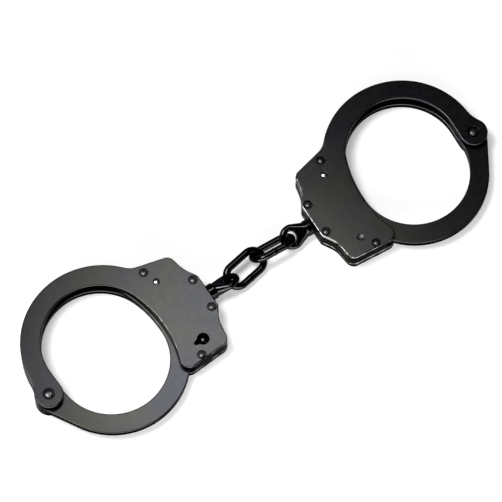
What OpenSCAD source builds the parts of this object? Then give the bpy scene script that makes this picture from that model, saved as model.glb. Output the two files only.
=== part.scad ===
/* [Plates] */
// Thickness of each cheek plate
plate_t = 3.5; // [3.2:0.1:4]
// Thickness of the single strand
strand_t = 3.6; // [3:0.1:4]
// Running gap on each side of the single strand
side_gap = 0.15; // [0.1:0.05:0.3]
// Outer radius of the double strand
bow_r = 36.1; // [34.5:0.1:38]
// Width of the double strand
bow_w = 10.4; // [9:0.1:11]
// How far the double strand stands out past the pivot
bow_out = 3.4; // [2.4:0.1:3.8]
// Height of the double strand's centre above the pivot
bow_high = 7.8; // [7:0.1:9]
// Radius of the knuckle round the pivot rivet
knuckle_r = 6.5; // [5.8:0.1:7]

/* [Case] */
// Step from the double strand's inner edge to the case's inner edge
case_step = 1.9; // [1.5:0.1:2.4]
// Length of the case, from its inner edge to the swivel
case_l = 25.5; // [25:0.1:30]
// Depth of the case below the pivot's level
case_low = 24.6; // [24.2:0.1:27]
// Height of the case above the pivot's level
case_high = 25.7; // [25:0.1:28]
// Radius of the heel, where the single strand goes in
heel_r = 4.2; // [3:0.1:5]
// Radius of the two outer corners
corner_r = 4; // [2.5:0.1:4.5]
// Depth of the waist beside each outer corner
waist_in = 4.3; // [3.8:0.1:4.8]
// Radius of the hollow at the waist
waist_r = 11.8; // [9:0.1:14]
// Radius of the hollow at the shoulder, where the double strand meets the case
shoulder_r = 10; // [8:0.5:12]
// Height of the swivel's axis above the pivot
swivel_y = 2; // [1:0.1:2.2]

/* [Single strand] */
// Width of the single strand outside the case
strand_w = 8.4; // [7.5:0.1:9]
// Width of the single strand along its teeth
tooth_band = 7.4; // [6.8:0.1:7.8]
// How far the single strand shows past the case's inner edge
strand_peek = 1.4; // [0.8:0.1:1.8]
// Depth of a tooth
tooth_h = 1.2; // [0.9:0.1:1.4]
// Number of teeth
tooth_n = 22; // [20:1:22]

/* [Rivets and holes] */
// Radius of the pivot rivet
pivot_r = 1.8; // [1.6:0.1:2.2]
// Radius of a case rivet
rivet_r = 1.1; // [0.9:0.05:1.2]
// Radius of a case rivet's head
rivet_head_r = 1.25; // [1.2:0.05:1.5]
// Radius of the recess round a case rivet's head
recess_r = 2; // [1.75:0.05:2]
// Depth of the recess round a rivet's head
recess_d = 0.8; // [0.5:0.1:1.2]
// Radius of the dowel through the case
dowel_r = 1.2; // [0.9:0.05:1.5]
// Width of the chamfer round each end of the dowel
dowel_rim = 0.4; // [0.2:0.05:0.6]
// Radius of the round part of the keyhole
keyhole_r = 2.65; // [2.4:0.05:3]
// Width of the keyhole's slot at its narrow end
slot_w = 1.6; // [1.2:0.1:2.6]
// Width of the keyhole's slot beside the key post
slot_root = 4.2; // [2.8:0.1:4.6]
// Reach of the keyhole's slot from the key post
slot_l = 4.6; // [4:0.1:5]
// Radius of the key post
post_r = 1.2; // [0.9:0.05:1.3]
// Radius of the key post's riveted foot
foot_r = 1.5; // [1.4:0.05:1.8]

/* [Lock] */
// Thickness of the pawl and the double-lock bar
lock_t = 3.4; // [3:0.1:3.6]
// Radius of the pawl's pin
pin_r = 1.2; // [1:0.05:1.4]
// Radius of the pawl round its pin
boss_r = 2.6; // [2.3:0.1:2.7]
// Number of teeth on the pawl
pawl_n = 3; // [2:1:4]
// Width of the double-lock bar
bar_w = 2.2; // [1.8:0.1:2.4]
// Travel of the double-lock bar
bar_travel = 2.2; // [1.8:0.1:2.3]
// Radius of the double-lock bar's push pin
push_r = 0.9; // [0.7:0.05:1]
// Thickness of the double-lock bar's leaf spring
leaf_t = 0.45; // [0.3:0.05:0.6]
// Thickness of the pawl's spring wire
coil_t = 0.7; // [0.5:0.05:0.8]

/* [Chain] */
// Radius of the swivel's head inside the case
head_r = 3.9; // [3.4:0.1:4.1]
// Radius of the swivel's neck
neck_r = 2.4; // [2.1:0.1:2.6]
// Radius of the swivel's collar outside the case
collar_r = 3.8; // [3.2:0.1:4]
// Length of the swivel's collar
collar_l = 3; // [2:0.1:3.4]
// How far the swivel stands out of the case
swivel_l = 16; // [14.8:0.1:17]
// Radius of the bar that forms the swivel's eye
eye_bar = 1.5; // [1.2:0.05:1.6]
// Width inside the swivel's eye
eye_w = 5.5; // [5.2:0.1:6]
// Step from the collar in to the fan that carries the eye
fan_step = 0.5; // [0.3:0.1:1]
// Length of the eye's straight bars behind its round end
eye_straight = 1; // [0.6:0.1:1.6]
// How far the fan's hollow stands out from the middle of the eye's round end
hollow_out = 0.5; // [0.2:0.1:0.6]
// Radius of a link's wire
wire_r = 1.7; // [1.5:0.05:1.75]
// Length inside a link
link_l = 16.2; // [15:0.05:20]
// Width inside a link
link_w = 6.4; // [6.2:0.1:7]
// Slack at each place where the chain's pieces hook together
slack = 0.6; // [0.5:0.05:0.8]
// Turn of the left swivel about its own axis
left_eye_roll = -42; // [-60:1:-30]
// Turn of the first link about the chain
link_1_roll = 23; // [0:1:30]
// Turn of the second link about the chain
link_2_roll = -48; // [-48:1:-38]
// Turn of the right swivel about its own axis
right_eye_roll = -24; // [-30:1:-20]
// Angle of the first link to the left swivel, seen from above
link_1_lean = 10; // [0:0.5:10]
// Angle of the second link to the left swivel, seen from above
link_2_lean = -3.2; // [-5:0.1:5]
// Angle of the right cuff to the left one, seen from above
right_turn = -1.63; // [-4:0.01:4]

/* [Hidden] */
$fn = 72;
// The small clearance of a fixed pin, and the clearance of one that turns or slides
fixed_gap = 0.03;
turn_gap = 0.06;
// The clearance between pieces that pass each other, and between teeth in mesh
pass_gap = 0.35;
tooth_gap = 0.12;
// The largest angle of one straight piece of an arc
arc_step = 3;

// Heights, from the face that the left cuff rests on
gap_t = strand_t + 2 * side_gap;
mid_z = plate_t;
top_z = plate_t + gap_t;
case_t = top_z + plate_t;
axis_z = case_t / 2;

// Angle between neighbouring teeth, seen from the pivot
tooth_pitch = 2;

// An outline runs like a belt round discs [x, y, r]: counter-clockwise round the outside of a
// disc, clockwise round a hollow one, whose r is below 0, and through a corner, whose r is 0
function rim(disc, heading) =
    [disc.x + disc[2] * sin(heading), disc.y - disc[2] * cos(heading)];
function heading(from, to) =
    let (run = [to.x - from.x, to.y - from.y])
    atan2(run.y, run.x) + asin(max(-1, min(1, (from[2] - to[2]) / norm(run))));
// The turn on a disc; a whole turn less a hair is no turn at all
function swing(disc, start, end) =
    let (ccw = (end - start + 720) % 360, turn = disc[2] < 0 ? -((360 - ccw) % 360) : ccw)
    abs(turn) > 359.5 ? 0 : turn;
function belt(discs, inset = 0) =
    let (n = len(discs), d = [for (disc = discs) [disc.x, disc.y, disc[2] - inset]])
    [for (i = [0:n - 1])
        let (start = heading(d[(i + n - 1) % n], d[i]), end = heading(d[i], d[(i + 1) % n]))
        let (turn = swing(d[i], start, end), steps = max(1, ceil(abs(turn) / arc_step)))
        for (k = [0:d[i][2] == 0 ? 0 : steps]) rim(d[i], start + turn * k / steps)];
// A hollow disc of radius r that touches the outside of discs a and b, on the right from a to b
function nestle(a, b, r) =
    let (run = [b.x - a.x, b.y - a.y], l = norm(run), da = a[2] + r, db = b[2] + r)
    let (along = (l * l + da * da - db * db) / (2 * l), off = sqrt(max(0, da * da - along * along)))
    [a.x + (run.x * along + run.y * off) / l, a.y + (run.y * along - run.x * off) / l, -r];
function polar(r, angle) = [r * cos(angle), r * sin(angle)];

// The cheek plates, as discs in the cuff's own plan: the pivot at 0, the chain along +X
bow = [bow_r - bow_out, bow_high, bow_r];
bow_in = [bow.x - 0.8, bow_high + 1.2, bow_w - bow_r];
case_x = bow_in.x - bow_in[2] + case_step;
case_end = case_x + case_l;
waist_x = case_end - waist_in + waist_r;
corner_x = case_end - 8.8;
knuckle = [0, 0, knuckle_r];
inner_edge_r = 50;
inner_edge = [case_x - inner_edge_r, -1, -inner_edge_r];
heel_y = heel_r - case_low;
heel_run = sqrt(pow(inner_edge_r + heel_r, 2) - pow(heel_y - inner_edge.y, 2));
heel = [inner_edge.x + heel_run, heel_y, heel_r];
low_corner = [corner_x, corner_r + 1 - case_low, corner_r];
high_corner = [corner_x, case_high - corner_r, corner_r];
nose_r = 2.8;
nose_half = 7.5;
waist_half = 18.7;
shoulder_at = 41.6;
shoulder_place = polar(bow_r + shoulder_r, shoulder_at);
plate_discs = [
    knuckle, bow_in, inner_edge, heel, low_corner,
    [waist_x, swivel_y - waist_half, -waist_r],
    [case_end - nose_r, swivel_y - nose_half, nose_r],
    [case_end - nose_r, swivel_y + nose_half, nose_r],
    [waist_x, swivel_y + waist_half, -waist_r],
    high_corner,
    [bow.x + shoulder_place.x, bow.y + shoulder_place.y, -shoulder_r],
    bow, nestle(bow, knuckle, 14)
];

// The single strand
strand_z = mid_z + side_gap;
strand_edge = case_x - strand_peek;
tooth_tip = strand_edge + tooth_band;
tooth_root = tooth_tip - tooth_h;
strand_in_r = -bow_in[2] - 0.1;
strand_in = [strand_edge - strand_in_r, -0.6, -strand_in_r];
strand_out = [strand_in.x + 0.2, -1.4, strand_in_r + strand_w];
strand_end = 25;
strand_reach = norm([strand_out.x, strand_out.y]) + strand_out[2] - 0.05;
strand_discs = [
    knuckle, strand_out, [0, 0, strand_reach],
    concat(polar(strand_reach - 3, strand_end - 3), 3),
    concat(polar(strand_edge + 1.1, strand_end - 0.6), 1),
    [0, 0, -strand_edge], strand_in
];
// The first tooth's angle is set by the pawl's, so that the two are in mesh
pawl_first = -9;
tooth_first = pawl_first - 5 * tooth_pitch;

// Places in the case
rivets = [
    [case_x + 6.2, case_high - 1.1], [case_end - 3, swivel_y + nose_half + 0.1],
    [case_end - 3, swivel_y - nose_half - 0.1], [case_x + 6.4, 2.6 - case_low]
];
dowel = [case_x + 8.6, case_high - 7.7];
post = [case_x + 11, -16.1];
sweep_r = tooth_tip + pass_gap;
// The swivel's head turns in a pocket, which opens into the lock's chamber
head_x = case_end - 5.6;
head_t = 2.1;
pocket_x = head_x - pass_gap;
pocket_low = pocket_x - 0.5;
pocket_high = head_x + head_t + pass_gap;
// The lock, from that pocket inwards: the leaf spring, the double-lock bar, and the pawl
leaf_room = 2.45;
leaf_y = 6.5;
leaf_half = 4.2;
notch_d = 0.5;
bar_end = pocket_x - leaf_room;
bar_x = bar_end - bar_w;
bar_low = post.y + slot_l - 0.3;
bar_high = 15.6;
lug = [2.4, 2.4];
toe = [1.8, 1.6];
pawl_pin = [bar_x - boss_r - 0.8, 12];
tail_y = bar_low - 1.3;
hump_x = bar_x - lug.x - 0.3;
hump_y = -5;
back_x = hump_x - 2.6;
key_reach = slot_l + 0.3;
chamber_low = bar_low - bar_travel - pass_gap;
chamber_high = pawl_pin.y + boss_r + pass_gap;

// The chain
collar_x = case_end + 0.3;
eye_turn = eye_w / 2 + eye_bar;
eye_x = case_end + swivel_l - eye_turn - eye_bar;
hook_x = case_end + swivel_l - eye_bar;
link_turn = link_w / 2 + wire_r;
link_1_x = link_l / 2 - eye_bar - slack;
link_1_run = link_1_x + link_l / 2 + wire_r;
link_2_x = link_l / 2 - wire_r - slack;
link_2_run = link_2_x + link_l / 2 - slack - eye_bar;

// The part's origin is the middle of its box, on the face that it rests on
function turned(points, angle) =
    [for (p = points) [p.x * cos(angle) - p.y * sin(angle), p.x * sin(angle) + p.y * cos(angle)]];
cuff_points = concat(belt(plate_discs), belt(strand_discs));
hook = [hook_x, swivel_y];
mid_hook = hook + polar(link_1_run, link_1_lean);
far_hook = mid_hook + polar(link_2_run, link_2_lean);
right_pivot = far_hook + turned([[hook_x, -swivel_y]], right_turn)[0];
right_points = [for (p = turned([for (q = cuff_points) [-q.x, q.y]], right_turn)) p + right_pivot];
all_points = concat(cuff_points, right_points);
all_x = [for (p = all_points) p.x];
all_y = [for (p = all_points) p.y];
middle = [(min(all_x) + max(all_x)) / 2, (min(all_y) + max(all_y)) / 2];

steel = [0.17, 0.17, 0.18];
dark = [0.1, 0.1, 0.11];
bare = [0.45, 0.45, 0.46];

// The cuff's own frame and the chain's, set in the part's frame
module in_part() translate([-middle.x, -middle.y, 0]) children();
module on_left() in_part() children();
module on_right()
    in_part() translate([right_pivot.x, right_pivot.y, case_t])
    rotate([0, 0, right_turn]) rotate([0, 180, 0]) children();
module on_chain(place, lean, x)
    in_part() translate([place.x, place.y, axis_z]) rotate([0, 0, lean])
    translate([x, 0, 0]) children();

module slab(z, t) translate([0, 0, z]) linear_extrude(t) children();
module at(place) translate([place.x, place.y, 0]) children();

// A turned rivet through the whole case: a shank, and a domed head in its recess at each end
module rivet(shank_r, head_r) {
    dome = head_r * 0.35;
    head_low = recess_d - 0.05;
    half = [
        [0, case_t - 0.02], [head_r * 0.5, case_t - 0.02 - dome * 0.25],
        [head_r * 0.86, case_t - 0.02 - dome * 0.75], [head_r, case_t - 0.02 - dome],
        [head_r, case_t - head_low], [shank_r, case_t - head_low]
    ];
    flipped = [for (i = [len(half) - 1:-1:0]) [half[i].x, case_t - half[i].y]];
    rotate_extrude() polygon(concat(half, flipped));
}

// The recess of one rivet's heads, with its hole, in both plates
module rivet_room(shank_r, ring_r) {
    translate([0, 0, -1]) cylinder(r = shank_r + fixed_gap, h = case_t + 2);
    translate([0, 0, -1]) cylinder(r = ring_r, h = recess_d + 1);
    translate([0, 0, case_t - recess_d]) cylinder(r = ring_r, h = recess_d + 1);
}

// The room that the swivel's head and neck turn in
module swivel_room() translate([0, swivel_y, axis_z]) rotate([0, 90, 0]) {
    translate([0, 0, pocket_low]) cylinder(r = head_r + pass_gap, h = pocket_high - pocket_low);
    translate([0, 0, pocket_low]) cylinder(r = neck_r + turn_gap, h = case_end - pocket_low + 1);
}

// The dowel's bore, with a chamfer at each face of the case
module dowel_room() {
    bore_r = dowel_r + fixed_gap;
    translate([0, 0, -1]) cylinder(r = bore_r, h = case_t + 2);
    for (end = [0, 1]) translate([0, 0, end * case_t]) rotate([180 * (1 - end), 0, 0])
        translate([0, 0, -dowel_rim])
            cylinder(r1 = bore_r, r2 = bore_r + 2 * dowel_rim, h = 2 * dowel_rim);
}

// The keyhole's slot tapers from its round part to a narrow round end
slot_run = slot_l - slot_w / 2;
module keyhole() {
    circle(r = keyhole_r);
    translate([-slot_run, 0]) circle(r = slot_w / 2);
    polygon([
        [-slot_run, slot_w / 2], [0, slot_root / 2],
        [0, -slot_root / 2], [-slot_run, -slot_w / 2]
    ]);
}

module plate(z) difference() {
    slab(z, plate_t) polygon(belt(plate_discs));
    for (place = rivets) at(place) rivet_room(rivet_r, recess_r);
    rivet_room(pivot_r, pivot_r + 0.8);
    at(dowel) dowel_room();
    at(pawl_pin) translate([0, 0, mid_z - plate_t / 2])
        cylinder(r = pin_r + fixed_gap, h = gap_t + plate_t);
    swivel_room();
}

module keyed_plate() color(steel) difference() {
    plate(top_z);
    at(post) slab(top_z - 1, plate_t + 2) keyhole();
}

module blank_plate() color(steel) difference() {
    plate(0);
    at(post) translate([0, 0, -1]) cylinder(r = foot_r + fixed_gap, h = plate_t + 2);
}

// The chamber in the spacers' layer: the strand's sweep, the pawl, the bar and the key's bit
module chamber() {
    circle(r = sweep_r, $fn = 180);
    translate([case_x, chamber_low]) square([pocket_x - case_x, chamber_high - chamber_low]);
    translate([bar_x - pass_gap, 0]) square([bar_w + 2 * pass_gap, bar_high + pass_gap]);
    at(post) circle(r = key_reach);
}

module spacers() difference() {
    slab(mid_z, gap_t) difference() {
        polygon(belt(plate_discs, 0.25));
        chamber();
    }
    for (place = rivets) at(place) rivet_room(rivet_r, recess_r);
    at(dowel) dowel_room();
    swivel_room();
    translate([bar_x + bar_w / 2, 0, axis_z]) rotate([-90, 0, 0])
        cylinder(r = push_r + turn_gap, h = case_high + 5);
}

module upper_spacer() color(dark) intersection() {
    spacers();
    translate([case_x - 1, swivel_y, 0]) cube([case_l + 2, case_high + 10, case_t]);
}

module lower_spacer() color(dark) intersection() {
    spacers();
    translate([case_x - 5, swivel_y - case_low - 10, 0])
        cube([case_l + 6, case_low + 10, case_t]);
}

// The notch between two teeth: a slope that falls to the root, and a steep wall at its upper end
module notch(angle, clear = 0) {
    low = angle + clear;
    high = angle + tooth_pitch - clear;
    out = tooth_tip + 1;
    polygon([
        polar(tooth_tip + 0.02 + clear, low), polar(tooth_root + 2 * clear, high),
        polar(out, high), polar(out, low)
    ]);
}

module single_strand() color(steel) difference() {
    slab(strand_z, strand_t) difference() {
        intersection() {
            polygon(belt(strand_discs));
            circle(r = tooth_tip, $fn = 180);
        }
        for (i = [0:tooth_n - 1]) notch(tooth_first + i * tooth_pitch);
    }
    translate([0, 0, -1]) cylinder(r = pivot_r + turn_gap, h = case_t + 2);
}

module pivot_rivet() color(steel) rivet(pivot_r, pivot_r + 0.2);

module case_rivets() color(steel) for (place = rivets) at(place) rivet(rivet_r, rivet_head_r);

// The post's foot is riveted into the blank plate, and the post stands free in the keyhole
module key_post() color(bare) at(post) {
    cylinder(r = foot_r, h = plate_t);
    cylinder(r = post_r, h = case_t - 0.6);
}

// The dowel places the upper spacer; its ends are ground flush with the plates and left bright
module case_dowel() color(bare) at(dowel) cylinder(r = dowel_r, h = case_t);

module pawl_pin() color(bare) at(pawl_pin)
    translate([0, 0, mid_z - plate_t / 2]) cylinder(r = pin_r, h = gap_t + plate_t);

// The pawl hangs from its pin; its back has a lug that the bar's lug stands behind when locked
lock_z = axis_z - lock_t / 2;
pawl_discs = [
    [pawl_pin.x, pawl_pin.y, boss_r], [case_x, 5, 0], [case_x, tail_y, 0],
    [hump_x - 4.2, tail_y + 1, 1], [back_x, hump_y - 1, -1], [hump_x - 0.5, hump_y + 0.5, 0.5],
    [hump_x - 0.5, hump_y + 2, 0.5], [back_x + 1.2, hump_y + 4.4, -1]
];
// The pawl's teeth are what is left of it in the notches that they mesh with
module pawl_plan() difference() {
    polygon(belt(pawl_discs));
    difference() {
        circle(r = sweep_r, $fn = 180);
        for (i = [0:pawl_n - 1]) notch(pawl_first + i * tooth_pitch, tooth_gap);
    }
}

module pawl() color(bare) difference() {
    slab(lock_z, lock_t) pawl_plan();
    at(pawl_pin) {
        translate([0, 0, -1]) cylinder(r = pin_r + turn_gap, h = case_t + 2);
        slab(coil_z - 0.1, coil_t + 1) {
            circle(r = boss_r + 0.4);
            pawl_leg(0.1);
        }
    }
}

// The pawl's spring: a coil round the pin, one leg in the pawl's groove and one on the wall
coil_r = boss_r - 0.1;
coil_z = lock_z + lock_t - coil_t - 0.1;
wall_leg = 5;
wall_turn = asin((pass_gap + boss_r - coil_r) / wall_leg);
module pawl_leg(room = 0) rotate(-28)
    translate([coil_r - coil_t - room, -9 - room]) square([coil_t + 2 * room, 9]);
module pawl_spring() color(bare) at(pawl_pin) slab(coil_z, coil_t) {
    difference() {
        circle(r = coil_r);
        circle(r = pin_r + 0.2);
    }
    pawl_leg();
    rotate(-wall_turn) translate([-wall_leg, coil_r - coil_t]) square([wall_leg, coil_t]);
}

// The double-lock bar, at rest unlocked: a lug towards the pawl, a toe for the key's bit,
// two notches for its spring and a push pin that comes out at the case's upper edge
module bar_notch(y) translate([bar_end, y]) circle(r = notch_d + 0.5, $fn = 48);
module lock_bar() color(bare) {
    slab(lock_z, lock_t) difference() {
        union() {
            translate([bar_x, bar_low]) square([bar_w, bar_high - bar_low]);
            translate([bar_x - lug.x, hump_y + 2.9]) square([lug.x + 0.1, lug.y]);
            translate([bar_x - toe.x, bar_low]) square([toe.x + 0.1, toe.y]);
        }
        bar_notch(leaf_y);
        bar_notch(leaf_y + bar_travel);
    }
    translate([bar_x + bar_w / 2, bar_high - 1, axis_z]) rotate([-90, 0, 0])
        cylinder(r = push_r, h = case_high - bar_high + 0.5);
}

// A bent leaf: its ends on the chamber's wall and its bend in one of the bar's notches
leaf_bends = [
    [pocket_x, -leaf_half], [pocket_x, 0.8 - leaf_half], [bar_end + 0.4, -0.7],
    [bar_end + leaf_t - notch_d, 0],
    [bar_end + 0.4, 0.7], [pocket_x, leaf_half - 0.8], [pocket_x, leaf_half]
];
leaf_back = [for (i = [len(leaf_bends) - 1:-1:0]) leaf_bends[i] - [leaf_t, 0]];
module lock_bar_spring() color(bare) slab(lock_z, lock_t)
    translate([0, leaf_y]) polygon(concat(leaf_bends, leaf_back));

// A swivel: head, neck and collar on one axis, and a forged eye that fans out of the collar
shoulder_x = collar_x + collar_l;
leg_x = eye_x - eye_straight;
fan_root = 0.4;
module swivel(roll) color(dark) translate([0, swivel_y, axis_z]) rotate([roll, 0, 0]) {
    rotate([0, 90, 0]) {
        translate([0, 0, head_x]) cylinder(r = head_r, h = head_t);
        translate([0, 0, head_x]) cylinder(r = neck_r, h = collar_x - head_x + 1);
        translate([0, 0, collar_x]) cylinder(r = collar_r, h = collar_l);
    }
    difference() {
        hull() {
            translate([shoulder_x - fan_root, 0, 0]) rotate([0, 90, 0])
                cylinder(r = collar_r - fan_step, h = fan_root / 2, $fn = 32);
            for (side = [-1, 1])
                translate([leg_x, side * eye_turn, 0]) sphere(r = eye_bar, $fn = 32);
        }
        translate([eye_x + hollow_out, 0, -case_t / 2]) cylinder(r = eye_w / 2, h = case_t);
    }
    for (side = [-1, 1]) translate([leg_x, side * eye_turn, 0]) rotate([0, 90, 0])
        cylinder(r = eye_bar, h = eye_x - leg_x);
    translate([eye_x, 0, 0]) rotate([0, 0, -90])
        rotate_extrude(angle = 180) translate([eye_turn, 0]) circle(r = eye_bar);
}

module link(roll) color(dark) rotate([roll, 0, 0]) for (end = [0, 180]) rotate([0, 0, end]) {
    translate([link_l / 2 - link_w / 2, 0, 0]) rotate([0, 0, -90])
        rotate_extrude(angle = 180) translate([link_turn, 0]) circle(r = wire_r);
    translate([-link_l / 2 + link_w / 2, link_turn, 0]) rotate([0, 90, 0])
        cylinder(r = wire_r, h = link_l - link_w);
}

on_left() keyed_plate();  // left_keyed_plate
on_left() blank_plate();  // left_blank_plate
on_left() upper_spacer();  // left_upper_spacer
on_left() lower_spacer();  // left_lower_spacer
on_left() single_strand();  // left_single_strand
on_left() pivot_rivet();  // left_pivot_rivet
on_left() case_rivets();  // left_case_rivets
on_left() case_dowel();  // left_case_dowel
on_left() key_post();  // left_key_post
on_left() pawl();  // left_pawl
on_left() pawl_pin();  // left_pawl_pin
on_left() pawl_spring();  // left_pawl_spring
on_left() lock_bar();  // left_lock_bar
on_left() lock_bar_spring();  // left_lock_bar_spring
on_left() swivel(left_eye_roll);  // left_swivel
on_chain(hook, link_1_lean, link_1_x) link(link_1_roll);  // chain_link_1
on_chain(mid_hook, link_2_lean, link_2_x) link(link_2_roll);  // chain_link_2
on_right() swivel(right_eye_roll);  // right_swivel
on_right() keyed_plate();  // right_keyed_plate
on_right() blank_plate();  // right_blank_plate
on_right() upper_spacer();  // right_upper_spacer
on_right() lower_spacer();  // right_lower_spacer
on_right() single_strand();  // right_single_strand
on_right() pivot_rivet();  // right_pivot_rivet
on_right() case_rivets();  // right_case_rivets
on_right() case_dowel();  // right_case_dowel
on_right() key_post();  // right_key_post
on_right() pawl();  // right_pawl
on_right() pawl_pin();  // right_pawl_pin
on_right() pawl_spring();  // right_pawl_spring
on_right() lock_bar();  // right_lock_bar
on_right() lock_bar_spring();  // right_lock_bar_spring
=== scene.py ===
import math

import bmesh
import bpy
from mathutils import Matrix, Vector
from mathutils.bvhtree import BVHTree


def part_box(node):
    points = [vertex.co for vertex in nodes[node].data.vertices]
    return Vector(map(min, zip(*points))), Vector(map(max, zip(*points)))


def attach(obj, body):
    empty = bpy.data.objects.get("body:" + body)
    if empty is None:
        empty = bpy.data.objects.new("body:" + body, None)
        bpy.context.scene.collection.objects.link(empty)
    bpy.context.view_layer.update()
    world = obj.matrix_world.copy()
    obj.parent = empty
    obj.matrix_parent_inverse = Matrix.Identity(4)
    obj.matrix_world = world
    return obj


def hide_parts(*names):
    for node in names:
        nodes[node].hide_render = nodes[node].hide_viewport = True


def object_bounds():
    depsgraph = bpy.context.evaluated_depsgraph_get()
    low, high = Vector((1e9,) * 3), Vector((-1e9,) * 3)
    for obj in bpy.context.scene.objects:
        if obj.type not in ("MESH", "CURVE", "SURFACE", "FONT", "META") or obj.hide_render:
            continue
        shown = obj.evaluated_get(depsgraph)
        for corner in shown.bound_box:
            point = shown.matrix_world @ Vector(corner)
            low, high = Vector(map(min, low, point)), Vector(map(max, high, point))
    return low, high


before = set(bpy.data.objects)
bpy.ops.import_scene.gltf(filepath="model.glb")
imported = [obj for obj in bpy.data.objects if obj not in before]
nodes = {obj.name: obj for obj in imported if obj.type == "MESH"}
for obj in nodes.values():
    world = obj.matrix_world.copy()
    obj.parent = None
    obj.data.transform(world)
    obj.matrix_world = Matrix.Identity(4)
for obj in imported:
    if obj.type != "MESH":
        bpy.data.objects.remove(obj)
cad_box = [list(corner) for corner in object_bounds()]
scene = bpy.context.scene
scene.view_settings.view_transform = "Standard"

# ---- The camera ----
# The photo was taken from nearly overhead with a long lens, so the two cuffs show in
# almost flat plan. The view was solved from the four rivets, bright pin end, key post and
# pivot of each cuff.
PHOTO_W, PHOTO_H = 502, 502
PHOTO_L = max(PHOTO_W, PHOTO_H)
image_points = {
    "outline_left": (18, None),
    "outline_right": (489, None),
    "outline_top": (None, 80),
    "outline_bottom": (None, 435),
    "left_rivet_shoulder": (143.1, 271.9),
    "left_rivet_upper_waist": (192.8, 280.0),
    "left_rivet_lower_waist": (211.8, 306.6),
    "left_rivet_heel": (201.7, 354.3),
    "left_dowel": (155.7, 280.9),
    "left_key_post": (202.6, 338.0),
    "left_pivot": (48.3, 393.3),
    "right_rivet_shoulder": (320.5, 159.5),
    "right_rivet_upper_waist": (308.0, 204.7),
    "right_rivet_lower_waist": (326.3, 231.6),
    "right_rivet_heel": (376.1, 241.6),
    "right_dowel": (323.6, 174.0),
    "right_key_post": (360.1, 236.6),
    "right_pivot": (473.1, 131.1),
    "link_weld": (250.4, 276.2),
}
view_azimuth, view_elevation = math.radians(-33.7), math.radians(68.66)
view_distance = 1.779
SEARCH_FROM, SEARCH_STEP, SEARCH_STEPS = 0.9, 0.002, 100
view_aim = Vector((-0.0021, 0.0024, 0.0109))
view_back = Vector((
    math.sin(view_azimuth) * math.cos(view_elevation),
    -math.cos(view_azimuth) * math.cos(view_elevation),
    math.sin(view_elevation),
))
camera = bpy.data.objects.new("camera", bpy.data.cameras.new("camera"))
scene.collection.objects.link(camera)
scene.camera = camera
camera.data.sensor_fit = "AUTO"
camera.data.sensor_width = 36
camera.data.lens = 287
camera.data.clip_start, camera.data.clip_end = 0.1, 20
camera.matrix_world = (
    Matrix.Translation(view_aim + view_back * view_distance)
    @ view_back.to_track_quat("Z", "Y").to_matrix().to_4x4()
)


def on_surface(x, y, *carriers):
    """The place and normal where a photo point's ray meets its carriers, or comes nearest."""
    lens = camera.data
    across = x - PHOTO_W / 2 + lens.shift_x * PHOTO_L
    upward = PHOTO_H / 2 - y + lens.shift_y * PHOTO_L
    away = -PHOTO_L * lens.lens / lens.sensor_width
    facing = camera.matrix_world.to_3x3()
    ray = (facing @ Vector((across, upward, away))).normalized()
    start = camera.matrix_world.translation
    joined = bmesh.new()
    for carrier in carriers:
        joined.from_mesh(carrier.data)
    tree = BVHTree.FromBMesh(joined)
    joined.free()
    place, normal, _, _ = tree.ray_cast(start, ray)
    if place is None:
        reach = [
            view_distance * (SEARCH_FROM + SEARCH_STEP * step) for step in range(SEARCH_STEPS)
        ]
        found = [tree.find_nearest(start + ray * far) for far in reach]
        place, normal, _, _ = min(found, key=lambda hit: hit[3])
    return place, normal


# ---- Cheek plates ----
# Each cuff has two cheek plates, stamped from thick steel plate. Their edges are tumbled
# round before the parts are blackened, and handling rubs the case's rims bright.
PLATE_RIM, HOLE_RIM = 0.0006, 0.0002
RIM_SEGMENTS, HOLE_SEGMENTS = 4, 2
MERGE_D, FLAT_ANGLE, SHARP_ANGLE = 2e-6, 0.5, 50
LONG_RUN = 0.1
WALL_MARGIN = 0.0001
CASE_REACH, RUB_FADE = 0.056, 0.008
# Strengths of the painted shade on the case's walls and on the hole rims.
CASE_WALL_SHADE, HOLE_RIM_SHADE = 0.1, 0.8
CASE_T = cad_box[1][2]


def merged(*names):
    """Copies of CAD nodes with their loose triangles merged and their flats in one piece."""
    bm = bmesh.new()
    for name in names:
        bm.from_mesh(nodes[name].data)
    bmesh.ops.remove_doubles(bm, verts=bm.verts, dist=MERGE_D)
    bmesh.ops.dissolve_limit(
        bm, angle_limit=math.radians(FLAT_ANGLE), verts=bm.verts, edges=bm.edges
    )
    return bm


def joined_runs(edges):
    """The given edges, sorted into the runs that hang together."""
    left, runs = set(edges), []
    while left:
        run, found = [], [left.pop()]
        while found:
            edge = found.pop()
            run.append(edge)
            for vert in edge.verts:
                for other in vert.link_edges:
                    if other in left:
                        left.remove(other)
                        found.append(other)
        runs.append(run)
    return runs


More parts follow.
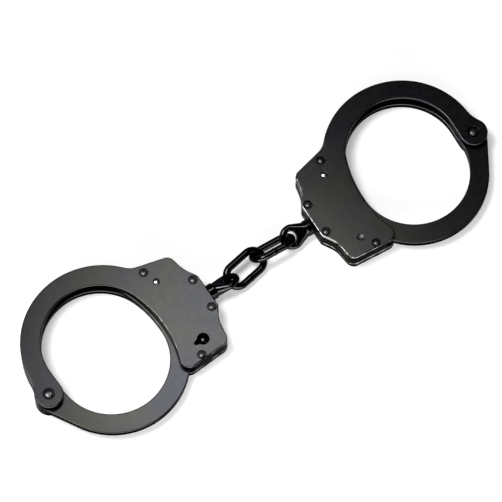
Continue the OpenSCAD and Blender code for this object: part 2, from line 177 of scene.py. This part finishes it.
def tumble(bm, rim, hole_rim):
    """Rounds the long runs of sharp edges by rim, and the short ones, at holes, by hole_rim.

    Marks each face with how far its black is rubbed off, and with its painted shade:
    full on walls and recess floors, slight on the case's walls, strong on hole rims.
    """
    rubbed = bm.faces.layers.float.new("rubbed")
    painted_shade = bm.faces.layers.float.new("painted_shade")
    low, high = [pick(vert.co.z for vert in bm.verts) for pick in (min, max)]
    # Painted shade: every face between the top and bottom flats (walls and recess floors) starts
    # fully shaded.
    for face in bm.faces:
        height = face.calc_center_median().z
        face[painted_shade] = float(low + WALL_MARGIN < height < high - WALL_MARGIN)
    for at_rim, width, segments in (
        (True, rim, RIM_SEGMENTS), (False, hole_rim, HOLE_SEGMENTS)
    ):
        sharp = [
            edge for edge in bm.edges
            if edge.is_convex and edge.calc_face_angle(0) > math.radians(SHARP_ANGLE)
        ]
        chosen = []
        for run in joined_runs(sharp):
            if (sum(edge.calc_length() for edge in run) > LONG_RUN) == at_rim:
                chosen += run
        if at_rim:
            # The case's walls next to its rims keep only a little painted shade.
            for face in {face for edge in chosen for face in edge.link_faces if face[painted_shade]}:
                if abs(face.calc_center_median().x) < CASE_REACH:
                    face[painted_shade] = CASE_WALL_SHADE
        made = bmesh.ops.bevel(
            bm, geom=chosen, offset=width, offset_type="OFFSET", affect="EDGES",
            segments=segments, profile=0.5, material=-1, clamp_overlap=False
        )
        # Rim bevels lose the painted shade; hole-rim bevels get strong painted shade, a dark
        # ring.
        for face in made["faces"]:
            inside = (CASE_REACH - abs(face.calc_center_median().x)) / RUB_FADE
            face[rubbed] = min(max(inside, 0.0), 1.0) if at_rim else 0.0
            face[painted_shade] = 0.0 if at_rim else HOLE_RIM_SHADE


def finished(name, bm, material, body, slot, *stands_for, crease=40):
    """The piece of a bmesh: smooth but at its creases, and riding on its body."""
    mesh = bpy.data.meshes.new(name)
    bm.to_mesh(mesh)
    bm.free()
    obj = bpy.data.objects.new(name, mesh)
    scene.collection.objects.link(obj)
    mesh.materials.append(material)
    mesh.shade_smooth()
    mesh.set_sharp_from_angle(angle=math.radians(crease))
    even = obj.modifiers.new("even_normals", "WEIGHTED_NORMAL")
    even.keep_sharp = True
    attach(obj, body)
    if stands_for:
        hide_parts(*stands_for)
    return obj


def metal(name):
    """A new metal material: itself, its tree, its shader and its place on the object."""
    material = bpy.data.materials.new(name)
    material.use_nodes = True
    tree = material.node_tree
    shader = tree.nodes["Principled BSDF"]
    shader.inputs["Metallic"].default_value = 1.0
    place = tree.nodes.new("ShaderNodeTexCoord").outputs["Object"]
    return material, tree, shader, place


def noise(tree, place, scale, detail):
    """The strength of a noise over a place."""
    texture = tree.nodes.new("ShaderNodeTexNoise")
    texture.inputs["Scale"].default_value = scale
    texture.inputs["Detail"].default_value = detail
    tree.links.new(place, texture.inputs["Vector"])
    return texture.outputs["Fac"]


def ramp(tree, strength, *stops):
    """The colour between two stops, each (position, colour), for a strength."""
    node = tree.nodes.new("ShaderNodeValToRGB")
    for element, (position, colour) in zip(node.color_ramp.elements, stops):
        element.position = position
        element.color = (*colour, 1)
    tree.links.new(strength, node.inputs["Fac"])
    return node.outputs["Color"]


def surface(tree, shader, marks, rough, swing, height, depth):
    """Roughness that swings with the marks, and a bump of a depth that follows the height."""
    gloss = tree.nodes.new("ShaderNodeMapRange")
    gloss.inputs["To Min"].default_value = rough - swing
    gloss.inputs["To Max"].default_value = rough + swing
    tree.links.new(marks, gloss.inputs["Value"])
    tree.links.new(gloss.outputs["Result"], shader.inputs["Roughness"])
    bump = tree.nodes.new("ShaderNodeBump")
    bump.inputs["Strength"].default_value = depth
    bump.inputs["Distance"].default_value = 0.00002
    tree.links.new(height, bump.inputs["Height"])
    tree.links.new(bump.outputs["Normal"], shader.inputs["Normal"])


def blackened(name, cool, warm, rough, grain, wear):
    """Black oxide on steel: cool and warm patches, a fine grain, rubbed edges, and painted shade
    on walls, recess floors and hole rims.
    """
    material, tree, shader, place = metal(name)
    links = tree.links
    shader.inputs["Specular Tint"].default_value = (0.35, 0.35, 0.35, 1)
    tint = ramp(tree, noise(tree, place, scale=45, detail=3), (0.35, cool), (0.65, warm))

    scuffs = noise(tree, place, scale=420, detail=4)
    scuffed = tree.nodes.new("ShaderNodeMapRange")
    scuffed.inputs["From Min"].default_value = 0.4
    scuffed.inputs["From Max"].default_value = 0.65
    scuffed.inputs["To Max"].default_value = wear
    links.new(scuffs, scuffed.inputs["Value"])
    edge = tree.nodes.new("ShaderNodeAttribute")
    edge.attribute_name = "rubbed"
    worn = tree.nodes.new("ShaderNodeMath")
    worn.operation = "MULTIPLY"
    links.new(edge.outputs["Fac"], worn.inputs[0])
    links.new(scuffed.outputs["Result"], worn.inputs[1])
    colour = tree.nodes.new("ShaderNodeMix")
    colour.data_type = "RGBA"
    colour.inputs["B"].default_value = (0.3, 0.3, 0.305, 1)
    links.new(worn.outputs["Value"], colour.inputs["Factor"])
    links.new(tint, colour.inputs["A"])
    # Painted shade: the colour is mixed towards near-black by each face's painted shade value.
    depth = tree.nodes.new("ShaderNodeAttribute")
    depth.attribute_name = "painted_shade"
    painted_shade_mix = tree.nodes.new("ShaderNodeMix")
    painted_shade_mix.data_type = "RGBA"
    painted_shade_mix.inputs["B"].default_value = (0.012, 0.012, 0.013, 1)
    links.new(depth.outputs["Fac"], painted_shade_mix.inputs["Factor"])
    links.new(colour.outputs["Result"], painted_shade_mix.inputs["A"])
    links.new(painted_shade_mix.outputs["Result"], shader.inputs["Base Color"])

    blast = noise(tree, place, scale=2600, detail=2)
    surface(tree, shader, scuffs, rough, swing=0.05, height=blast, depth=grain)
    return material


satin_black = blackened(
    "satin_black", (0.034, 0.035, 0.04), (0.038, 0.038, 0.034), rough=0.2, grain=0.2, wear=0.95
)
plates = {}
for side in ("left", "right"):
    for plate in ("keyed_plate", "blank_plate"):
        bm = merged(f"{side}_{plate}")
        tumble(bm, PLATE_RIM, HOLE_RIM)
        plates[side, plate] = finished(
            f"{side}_{plate}_tumbled", bm, satin_black, f"{side}_frame", "blued_steel",
            f"{side}_{plate}"
        )

# ---- Single strands ----
# The single strand is a flat arm of the same steel, stamped, toothed along its far end and
# tumbled like the cheeks. It swings between the knuckles of the two plates.
STRAND_RIM = 0.0005
for side in ("left", "right"):
    bm = merged(f"{side}_single_strand")
    tumble(bm, STRAND_RIM, HOLE_RIM)
    finished(
        f"{side}_single_strand_tumbled", bm, satin_black, f"{side}_strand", "blued_steel",
        f"{side}_single_strand"
    )

# ---- Spacers ----
# Two filler pieces keep the plates apart and close the case's edge. They are stamped from
# the same plate as the strand and stand a hair inside the cheeks.
SPACER_RIM, SPACER_HOLE_RIM = 0.00025, 0.0001
spacer_black = blackened(
    "spacer_black", (0.03, 0.031, 0.036), (0.037, 0.037, 0.033), rough=0.34, grain=0.4, wear=0
)
for side in ("left", "right"):
    for spacer in ("upper_spacer", "lower_spacer"):
        bm = merged(f"{side}_{spacer}")
        tumble(bm, SPACER_RIM, SPACER_HOLE_RIM)
        finished(
            f"{side}_{spacer}_tumbled", bm, spacer_black, f"{side}_frame", "blued_steel",
            f"{side}_{spacer}"
        )

# ---- Case rivets and pivot rivet ----
# Turned steel rivets hold the plates together. Each head is peened flat down in its recess,
# and the dark ring round the grey disc is that recess, with painted shade on its walls and rim.
RIVET_R, RIVET_HEAD_R = 0.0011, 0.00125
PIVOT_R, PIVOT_HEAD_R = 0.0018, 0.00175
RECESS_D = 0.0008
CROWN_H, FLAT_SHARE, BEND_SHARE, BEND_DROP = 0.14, 0.78, 0.92, 0.35


def solids_of(node):
    """The lowest and highest corner of each separate solid of a CAD node."""
    bm = bmesh.new()
    bm.from_mesh(nodes[node].data)
    bmesh.ops.remove_doubles(bm, verts=bm.verts, dist=MERGE_D)
    boxes = []
    for run in joined_runs(bm.edges):
        corners = [vert.co for edge in run for vert in edge.verts]
        boxes.append([
            Vector(pick(corner[i] for corner in corners) for i in range(3))
            for pick in (min, max)
        ])
    bm.free()
    return boxes


def turn(bm, profile, place, steps=32):
    """A turned piece: a profile of (radius, height), spun about the upright through place."""
    verts = [bm.verts.new((place.x + r, place.y, z)) for r, z in profile]
    edges = [bm.edges.new(pair) for pair in zip(verts, verts[1:])]
    bmesh.ops.spin(
        bm, geom=verts + edges, angle=math.tau, steps=steps, axis=(0, 0, 1),
        cent=(place.x, place.y, 0), use_merge=True
    )


def closed_up(bm):
    """Merges a turned piece's poles and points its faces outwards."""
    bmesh.ops.remove_doubles(bm, verts=bm.verts, dist=1e-6)
    bmesh.ops.recalc_face_normals(bm, faces=bm.faces)


def rivet_profile(shank, head, low, high):
    """A shank with a peened head at each end: a flat disc that is rounded at its edge."""
    crown = head * CROWN_H
    half = [
        (0, high), (head * FLAT_SHARE, high), (head * BEND_SHARE, high - crown * BEND_DROP),
        (head, high - crown), (head, high - RECESS_D), (shank, high - RECESS_D)
    ]
    return half + [(r, low + high - z) for r, z in reversed(half)]


rivet_black = blackened(
    "rivet_black", (0.07, 0.071, 0.075), (0.076, 0.076, 0.073), rough=0.27, grain=0.3, wear=0
)
rivet_places = {}
for side in ("left", "right"):
    for node, shank, head in (
        ("case_rivets", RIVET_R, RIVET_HEAD_R), ("pivot_rivet", PIVOT_R, PIVOT_HEAD_R)
    ):
        bm = bmesh.new()
        rivet_places[side, node] = []
        for low, high in solids_of(f"{side}_{node}"):
            middle = (low + high) / 2
            rivet_places[side, node].append(middle)
            turn(bm, rivet_profile(shank, head, low.z, high.z), middle)
        closed_up(bm)
        finished(
            f"{side}_{node}_peened", bm, rivet_black, f"{side}_frame", "blued_steel",
            f"{side}_{node}", crease=50
        )

# ---- Key posts ----
# A key's hollow barrel slips over this turned pin. Its foot is riveted flush into the blank
# plate, where a fine ring shows, and its free end is chamfered.
POST_R, FOOT_R, FOOT_T = 0.0012, 0.0015, 0.0035
POST_CHAMFER, FOOT_FLAT_SHARE, LIP_W = 0.0003, 0.75, 0.0001
FOOT_FLAT_D, LIP_D, FOOT_EDGE_D = 0.0001, 0.00005, 0.00015
for side in ("left", "right"):
    low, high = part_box(f"{side}_key_post")
    middle = (low + high) / 2
    foot_down = low.z < CASE_T - high.z
    foot, tip = (low.z, high.z) if foot_down else (high.z, low.z)
    up = 1 if foot_down else -1
    profile = [
        (0, foot + up * FOOT_FLAT_D), (FOOT_R * FOOT_FLAT_SHARE, foot + up * FOOT_FLAT_D),
        (FOOT_R - LIP_W, foot + up * LIP_D), (FOOT_R, foot + up * FOOT_EDGE_D),
        (FOOT_R, foot + up * FOOT_T), (POST_R, foot + up * FOOT_T),
        (POST_R, tip - up * POST_CHAMFER), (POST_R - POST_CHAMFER, tip), (0, tip)
    ]
    bm = bmesh.new()
    turn(bm, profile, middle)
    closed_up(bm)
    finished(
        f"{side}_key_post_turned", bm, rivet_black, f"{side}_frame", "bare_steel",
        f"{side}_key_post", crease=50
    )

# ---- Case dowels ----
# The photo shows a bright dot in a dark ring below each case's first rivet. It is taken
# for the polished end of a pin through the case: the pin itself is a guess.
DOWEL_EDGE = 0.0001


def bright_steel(name, colour, rough, scale):
    """Bare steel with fine marks of the tool along its surface."""
    material, tree, shader, place = metal(name)
    stretch = tree.nodes.new("ShaderNodeMapping")
    stretch.inputs["Scale"].default_value = scale
    tree.links.new(place, stretch.inputs["Vector"])
    marks = noise(tree, stretch.outputs["Vector"], scale=1, detail=5)
    shade = [part * 0.8 for part in colour]
    tone = ramp(tree, marks, (0.3, shade), (0.7, colour))
    tree.links.new(tone, shader.inputs["Base Color"])
    surface(tree, shader, marks, rough, swing=0.08, height=marks, depth=0.25)
    return material


polished_end = bright_steel(
    "polished_end", (0.9, 0.9, 0.9), rough=0.2, scale=(900, 900, 3000)
)
dowel_places = {}
for side in ("left", "right"):
    low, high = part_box(f"{side}_case_dowel")
    dowel_places[side] = (low + high) / 2
    dowel_r = (high.x - low.x) / 2
    bm = bmesh.new()
    turn(bm, [
        (0, low.z), (dowel_r - DOWEL_EDGE, low.z), (dowel_r, low.z + DOWEL_EDGE),
        (dowel_r, high.z - DOWEL_EDGE), (dowel_r - DOWEL_EDGE, high.z), (0, high.z)
    ], dowel_places[side])
    closed_up(bm)
    finished(
        f"{side}_case_dowel_ground", bm, polished_end, f"{side}_frame", "bare_steel",
        f"{side}_case_dowel", crease=50
    )

# ---- The lock's inner pieces ----
# The pawl, its pin and spring, and the double-lock bar and its leaf are ground steel, left
# bare and oiled. They hide in the case but for glimpses at the keyhole and the bar's pin.
oiled_steel = bright_steel(
    "oiled_steel", (0.07, 0.07, 0.072), rough=0.35, scale=(400, 3000, 3000)
)
for side in ("left", "right"):
    for node in ("pawl", "pawl_pin", "pawl_spring", "lock_bar", "lock_bar_spring"):
        for holder in nodes[f"{side}_{node}"].material_slots:
            holder.link = "OBJECT"
            holder.material = oiled_steel

# ---- Chain links ----
# Each link is round bar, bent to an oval and butt-welded in one straight side, where a
# small bead is left. Link 1's bead is seen; link 2's is put at the same place.
WIRE_R, LINK_L, LINK_W = 0.0017, 0.0162, 0.0064
WELD_BEAD, WELD_HALF = 0.00012, 0.0008
WIRE_SEGMENTS, STRAIGHT_STEPS, BEND_STEPS = 24, 20, 24
gloss_black = blackened(
    "gloss_black", (0.026, 0.026, 0.029), (0.033, 0.032, 0.029), rough=0.12, grain=0.06, wear=0
)


def link_ring():
    """A link about the origin, along X: bent from a round section."""
    bm = bmesh.new()
    straight = LINK_L - LINK_W
    turn_r = LINK_W / 2 + WIRE_R
    start = (
        Matrix.Translation((-straight / 2, -turn_r, 0)) @ Matrix.Rotation(math.pi / 2, 4, "Y")
    )
    made = bmesh.ops.create_circle(
        bm, cap_ends=False, radius=WIRE_R, segments=WIRE_SEGMENTS, matrix=start
    )
    front = made["verts"] + list({edge for vert in made["verts"] for edge in vert.link_edges})
    for along in (1, -1):
        for _ in range(STRAIGHT_STEPS):
            edges = [item for item in front if isinstance(item, bmesh.types.BMEdge)]
            made = bmesh.ops.extrude_edge_only(bm, edges=edges)["geom"]
            moved = [item for item in made if isinstance(item, bmesh.types.BMVert)]
            bmesh.ops.translate(bm, verts=moved, vec=(along * straight / STRAIGHT_STEPS, 0, 0))
            rim = set(moved)
            front = moved + [
                item for item in made
                if isinstance(item, bmesh.types.BMEdge) and set(item.verts) <= rim
            ]
        front = bmesh.ops.spin(
            bm, geom=front, angle=math.pi, steps=BEND_STEPS, axis=(0, 0, 1),
            cent=(along * straight / 2, 0, 0)
        )["geom_last"]
    bmesh.ops.remove_doubles(bm, verts=bm.verts, dist=MERGE_D)
    bmesh.ops.recalc_face_normals(bm, faces=bm.faces)
    return bm


def weld(bm, along):
    """Raises the weld's bead round one straight side, at its place along the link."""
    for vert in bm.verts:
        off = vert.co.x - along
        if vert.co.y < 0 and abs(off) < WELD_HALF:
            core = Vector((vert.co.x, -LINK_W / 2 - WIRE_R, 0))
            swell = WELD_BEAD / WIRE_R * math.cos(off / WELD_HALF * math.pi / 2) ** 2
            vert.co = core + (vert.co - core) * (1 + swell)


link_places = {}
for name, lean, roll in (("chain_link_1", 10, 23), ("chain_link_2", -3.2, -48)):
    low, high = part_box(name)
    link_places[name] = (
        Matrix.Translation((low + high) / 2) @ Matrix.Rotation(math.radians(lean), 4, "Z")
        @ Matrix.Rotation(math.radians(roll), 4, "X")
    )
bead, _ = on_surface(*image_points["link_weld"], nodes["chain_link_1"])
weld_along = (link_places["chain_link_1"].inverted() @ bead).x
for name, place in link_places.items():
    bm = link_ring()
    weld(bm, weld_along)
    bmesh.ops.transform(bm, verts=bm.verts, matrix=place)
    finished(f"{name}_welded", bm, gloss_black, name, "dark_chain", name)

# ---- Swivels ----
# A forged eye with a round neck and head: the head turns in the case's pocket. The forging's
# soft corners come from a fine remesh of the solid, smoothed where the die rounds it.
FORGE_GRAIN, FORGE_PASSES = 0.00018, 6


def forged(name):
    """A CAD node's solid in small even faces, with its hard corners softened."""
    bm = merged(name)
    mesh = bpy.data.meshes.new(f"{name}_blank")
    bm.to_mesh(mesh)
    bm.free()
    blank = bpy.data.objects.new(f"{name}_blank", mesh)
    scene.collection.objects.link(blank)
    even = blank.modifiers.new("even", "REMESH")
    even.mode = "VOXEL"
    even.voxel_size = FORGE_GRAIN
    view = bpy.context.evaluated_depsgraph_get()
    made = bmesh.new()
    made.from_mesh(blank.evaluated_get(view).data)
    bpy.data.objects.remove(blank)
    for _ in range(FORGE_PASSES):
        bmesh.ops.smooth_vert(
            made, verts=made.verts, factor=0.5, use_axis_x=True, use_axis_y=True,
            use_axis_z=True
        )
    return made


for side in ("left", "right"):
    finished(
        f"{side}_swivel_forged", forged(f"{side}_swivel"), gloss_black, f"{side}_swivel",
        "dark_chain", f"{side}_swivel", crease=70
    )

# ---- The table and the light ----
# White paper under three soft lamps. The main one hangs where the left cuff's flat faces
# mirror it to the camera, so that cuff reads grey and the right one falls off towards black.
# A high window throws the short shadows, and a low one in front draws the case's rim lines.
table_mesh = bpy.data.meshes.new("table")
bm = bmesh.new()
bmesh.ops.create_grid(bm, x_segments=1, y_segments=1, size=3)
bm.to_mesh(table_mesh)
bm.free()
table = bpy.data.objects.new("table", table_mesh)
scene.collection.objects.link(table)
paper = bpy.data.materials.new("white_paper")
paper.use_nodes = True
paper_links = paper.node_tree.links
paper_shader = paper.node_tree.nodes["Principled BSDF"]
paper_shader.inputs["Base Color"].default_value = (0.86, 0.86, 0.86, 1)
paper_shader.inputs["Roughness"].default_value = 0.9
paper_shader.inputs["Specular IOR Level"].default_value = 0.1
paper_shader.inputs["Emission Color"].default_value = (1, 1, 1, 1)
rays = paper.node_tree.nodes.new("ShaderNodeLightPath")
strongest = rays.outputs["Is Camera Ray"]
for kind in ("Is Glossy Ray", "Is Transmission Ray"):
    either = paper.node_tree.nodes.new("ShaderNodeMath")
    either.operation = "MAXIMUM"
    paper_links.new(strongest, either.inputs[0])
    paper_links.new(rays.outputs[kind], either.inputs[1])
    strongest = either.outputs["Value"]
glow = paper.node_tree.nodes.new("ShaderNodeMath")
glow.operation = "MULTIPLY"
glow.inputs[1].default_value = 0.3
paper_links.new(strongest, glow.inputs[0])
paper_links.new(glow.outputs["Value"], paper_shader.inputs["Emission Strength"])
table_mesh.materials.append(paper)


def soft_lamp(name, place, aim, width, height, power):
    """An oval soft lamp at a place, facing its aim."""
    lamp = bpy.data.lights.new(name, "AREA")
    lamp.shape = "ELLIPSE"
    lamp.size, lamp.size_y = width, height
    lamp.energy = power
    obj = bpy.data.objects.new(name, lamp)
    scene.collection.objects.link(obj)
    facing = (Vector(place) - Vector(aim)).to_track_quat("Z", "Y")
    obj.matrix_world = Matrix.Translation(place) @ facing.to_matrix().to_4x4()


soft_lamp(
    "main_lamp", place=(0.101, 0.181, 0.763), aim=(-0.044, -0.043, 0.011),
    width=0.21, height=0.21, power=0.62
)
soft_lamp(
    "window_lamp", place=(-0.5, 0.45, 1.8), aim=(0, 0, 0), width=0.8, height=0.8, power=27
)
soft_lamp(
    "rim_lamp", place=(-0.54, -0.84, 0.3), aim=(0, 0, 0), width=1.9, height=0.5, power=20
)

world = bpy.data.worlds.new("studio")
scene.world = world
world.use_nodes = True
world.node_tree.nodes["Background"].inputs["Color"].default_value = (1, 1, 1, 1)
world.node_tree.nodes["Background"].inputs["Strength"].default_value = 0.02
